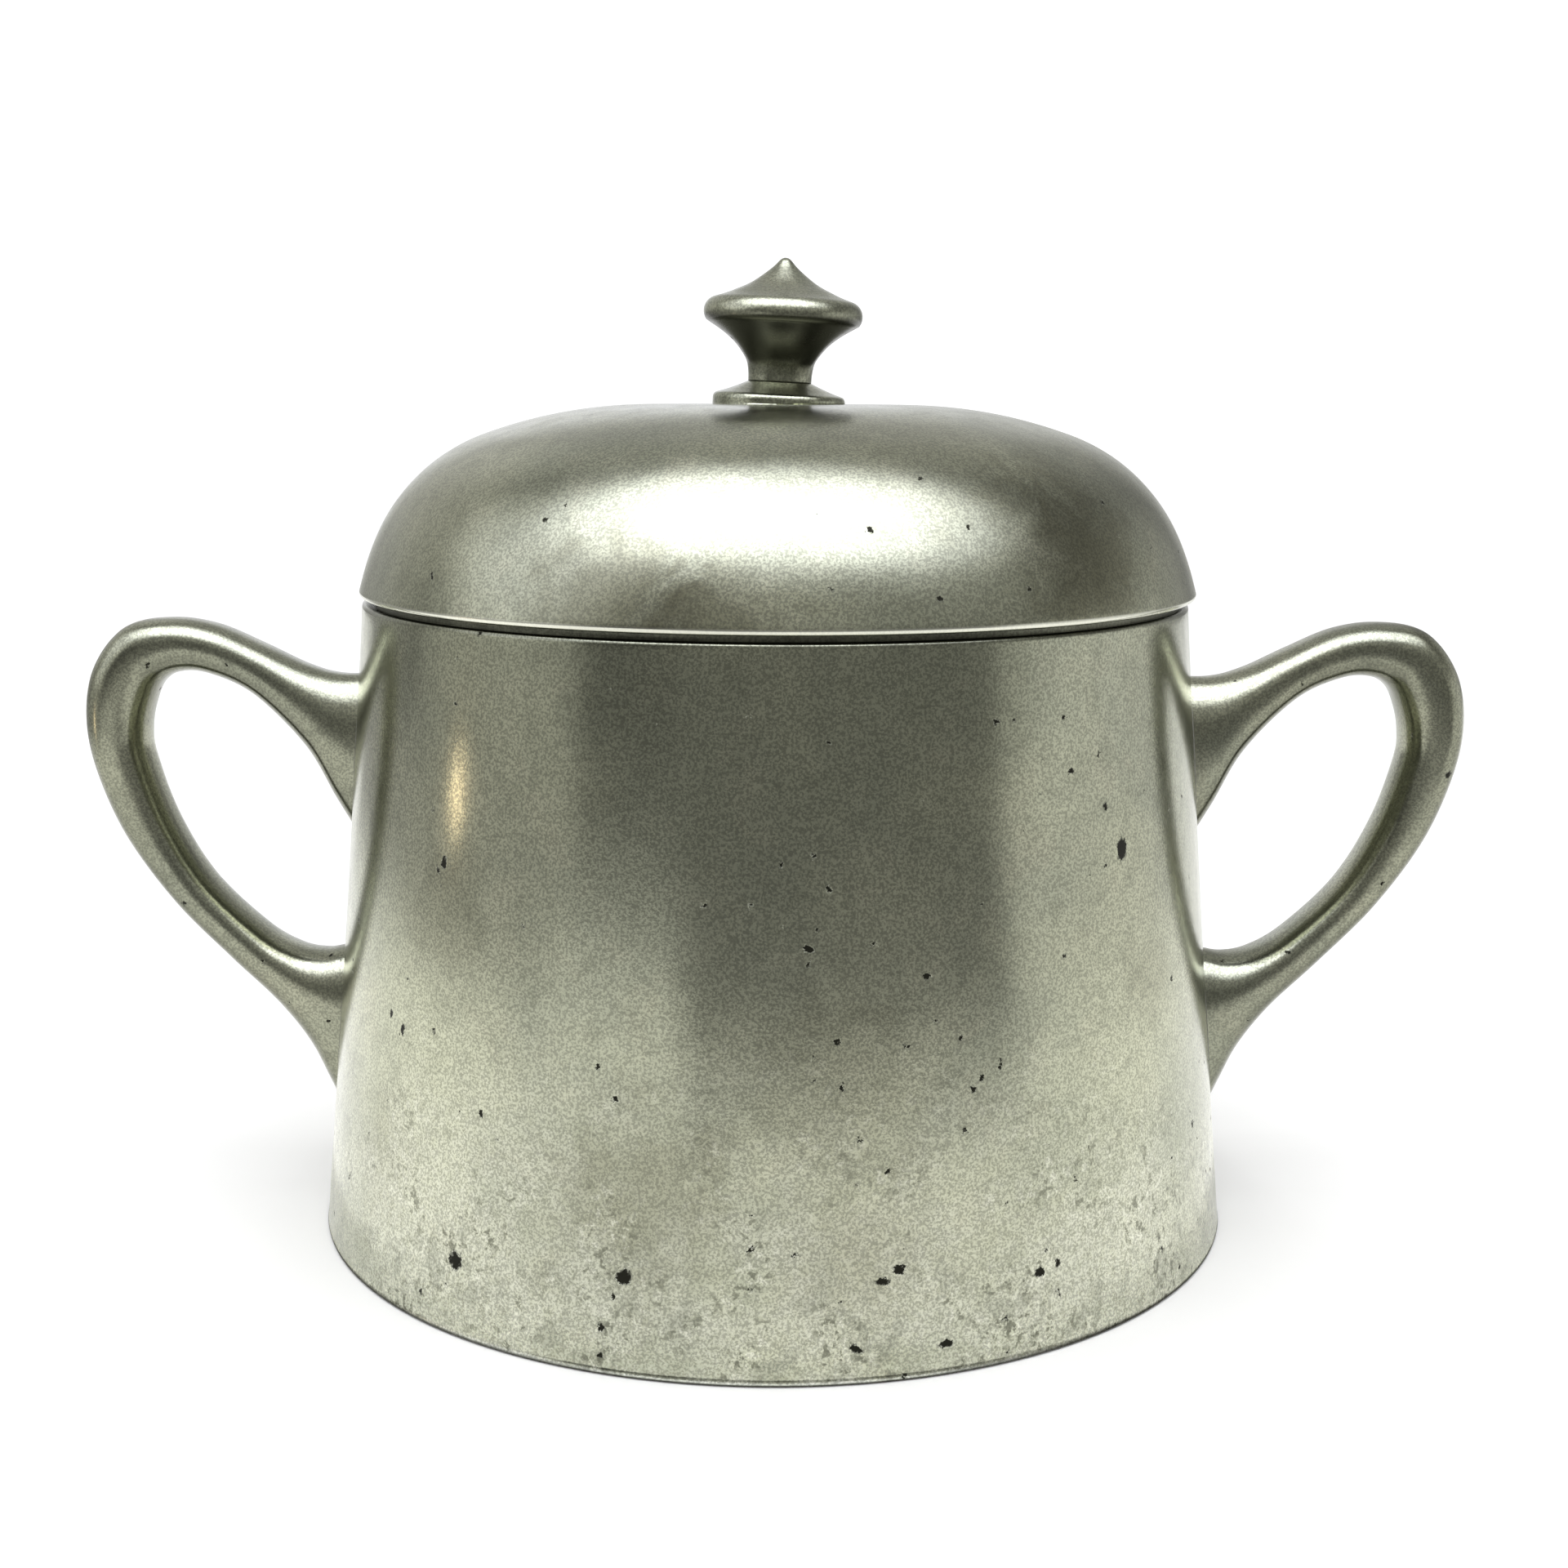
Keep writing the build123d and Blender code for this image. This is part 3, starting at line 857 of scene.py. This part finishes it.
for name in ("base_plate", "lid_seat_ring"):
    coat(nodes[name], inner_pewter)
for name in nodes:
    if "solder" in name:
        coat(nodes[name], solder_and_crevice_shade)
for name in ("knob_stud", "knob_washer", "knob_nut"):
    coat(nodes[name], brass_metal)


# Studio


def staged(name, points, faces, material):
    """A thing that belongs to the studio and not to the bowl, given its points in metres."""
    mesh = bpy.data.meshes.new(name)
    mesh.from_pydata(points, [], faces)
    thing = new_object(name, mesh)
    thing.data.materials.append(material)
    return thing


def sheet(name, corners, material):
    """A flat sheet of the studio."""
    return staged(name, corners, [tuple(range(len(corners)))], material)


def reflection_only(thing):
    """Leaves a thing in the metal's reflections only: it lights nothing, and the camera doesn't see it."""
    thing.visible_camera = False
    thing.visible_diffuse = False
    thing.visible_shadow = False
    thing.visible_transmission = False
    thing.visible_volume_scatter = False


def floor():
    """A pale floor just below the bowl's foot."""
    graph = Graph("floor")
    shader = graph.add("BsdfPrincipled", {"Base Color": colour((0.9, 0.9, 0.9)), "Roughness": 0.8})
    height = cad_box[0].z - FLOOR_DROP
    edge = [round_axis(360 * k / 48, FLOOR_R, height) for k in range(48)]
    sheet("floor", edge, graph.finish(shader))


def way_round(graph, place):
    """The direction of a place round the vertical axis, in radians from the front."""
    x = graph.add("SeparateXYZ", {0: place}, "X")
    y = graph.add("SeparateXYZ", {0: place}, "Y")
    return graph.math("ARCTAN2", x, graph.math("MULTIPLY", y, -1.0))


def tent_light():
    """The tent's own light: a dim even glow with soft patches and upright panels of light on it."""
    graph = Graph("tent")
    towards = graph.vector("NORMALIZE", graph.add("TexCoord", output="Object"))
    round_by = way_round(graph, towards)
    raised = graph.math("ARCSINE", graph.add("SeparateXYZ", {0: towards}, "Z"))

    total = TENT_GLOW
    for turn, up, inner, outer, strength in LIGHT_PATCHES:
        axis = round_axis(turn, cos(radians(up)), sin(radians(up)))
        along = graph.vector("DOT_PRODUCT", towards, axis, output="Value")
        patch = graph.remap(along, cos(radians(outer)), cos(radians(inner)), 0.0, strength)
        total = graph.math("ADD", total, patch)
    for turn, width, up, height, edge, strength in LIGHT_PANELS:
        aside = graph.math("ABSOLUTE", graph.math("SUBTRACT", round_by, radians(turn)))
        above = graph.math("ABSOLUTE", graph.math("SUBTRACT", raised, radians(up)))
        across = graph.remap(aside, radians(width / 2 + edge), radians(width / 2))
        tall = graph.remap(above, radians(height / 2 + edge), radians(height / 2), 0.0, strength)
        total = graph.math("ADD", total, graph.math("MULTIPLY", across, tall))
    tint = graph.mix(graph.remap(total, 0.35, 1.8), colour((1.0, 1.0, 0.97)), colour((0.97, 0.985, 1.1)))
    return graph.finish(graph.add("Emission", {"Color": tint, "Strength": total}))


def tent():
    """What the metal reflects all round and above: a half sphere, and 10 degrees more below the horizon."""
    rows = 24
    columns = 48
    points = [(0, 0, TENT_R)]
    for up in spaced(90, -10, rows)[1:]:
        ring_r = TENT_R * cos(radians(up))
        ring_z = TENT_R * sin(radians(up))
        points += [round_axis(360 * k / columns, ring_r, ring_z) for k in range(columns)]
    faces = [(0, 1 + k, 1 + (k + 1) % columns) for k in range(columns)]
    for i in range(rows - 1):
        for k in range(columns):
            a = 1 + i * columns + k
            b = 1 + i * columns + (k + 1) % columns
            faces.append((a, a + columns, b + columns, b))
    thing = staged("tent", points, faces, tent_light())
    thing.data.shade_smooth()
    reflection_only(thing)


def table_light():
    """The table top's own light: a pale sheet that fades into a dim table, paler at the sides."""
    graph = Graph("table_top")
    place = graph.add("TexCoord", output="Object")
    round_by = way_round(graph, place)

    def turning(start, end, low, high):
        """A value that goes from low to high between two directions in degrees."""
        return graph.remap(round_by, radians(start), radians(end), low, high)

    dim = graph.math("ADD", turning(54, 62, 0.26, 0.9), turning(-45, -53, 0.0, 0.2))
    pale = graph.math("ADD", turning(-30, -75, 1.17, 1.38), turning(35, 70, 0.0, 0.15))
    shortened = graph.math("MULTIPLY", turning(-14, -26, 0.0, 0.5), turning(-64, -42, 0.3, 1.0))
    reach = graph.vector("LENGTH", place, output="Value")
    reach = graph.math("MULTIPLY", reach, graph.math("SUBTRACT", 1.0, shortened))
    pale_share = graph.remap(reach, 0.13, 0.31, 1.0, 0.0)
    glow = graph.math("MULTIPLY_ADD", pale_share, graph.math("SUBTRACT", pale, dim), dim)
    return graph.finish(graph.add("Emission", {"Strength": glow}))


def table_top():
    """What the metal reflects below the horizon: a flat ring round the bowl, open behind it."""
    spread = range(-140, 121, 5)
    near = [round_axis(turn, TABLE_NEAR_R, TABLE_TOP_Z) for turn in spread]
    far = [round_axis(turn, TABLE_FAR_R, TABLE_TOP_Z) for turn in spread]
    reflection_only(sheet("table_top", near + far[::-1], table_light()))


def warm_card():
    """A small warm thing beside the bowl, facing it, which the wall shows as a glint."""
    centre = Vector((-0.15, -0.034, 0.0425))
    across = Vector((centre.y, -centre.x, 0)).normalized() * 0.008 / 2
    upward = Vector((0, 0, 0.009 / 2))
    low = [centre - across - upward, centre + across - upward]
    high = [centre + across + upward, centre - across + upward]
    graph = Graph("glint")
    shader = graph.add("Emission", {"Color": colour((1.0, 0.8, 0.6)), "Strength": 5.5})
    reflection_only(sheet("glint", low + high, graph.finish(shader)))


def overhead_light():
    """A soft light above the bowl for the floor, which the metal doesn't reflect."""
    soft_light = bpy.data.lights.new("overhead", "AREA")
    soft_light.shape = "RECTANGLE"
    soft_light.size = 0.7
    soft_light.size_y = 0.5
    soft_light.energy = 1.5
    overhead = new_object("overhead", soft_light)
    overhead.location = (0.0, -0.12, 0.75)
    overhead.rotation_euler = (radians(-9), 0, 0)
    overhead.visible_glossy = False
    overhead.visible_camera = False


def pale_world():
    """Plain white all round."""
    world = bpy.data.worlds.new("pale")
    world.use_nodes = True
    background = world.node_tree.nodes["Background"]
    background.inputs["Color"].default_value = colour((1.0, 1.0, 1.0))
    background.inputs["Strength"].default_value = 1.15
    bpy.context.scene.world = world


def front_camera():
    """A camera in front of the bowl and a little above it."""
    lens = bpy.data.cameras.new("camera")
    lens.lens = 48.306
    lens.sensor_width = 36.0
    lens.clip_start = 0.01
    camera = new_object("camera", lens)
    place = Matrix.Translation((0.001, -0.2292, 0.0895))
    pitch = Matrix.Rotation(radians(90 - 10.52), 4, "X")
    roll = Matrix.Rotation(radians(0.24), 4, "Z")
    camera.matrix_world = place @ pitch @ roll
    bpy.context.scene.camera = camera


floor()
tent()
table_top()
warm_card()
overhead_light()
pale_world()
front_camera()
bpy.context.scene.view_settings.view_transform = "Standard"
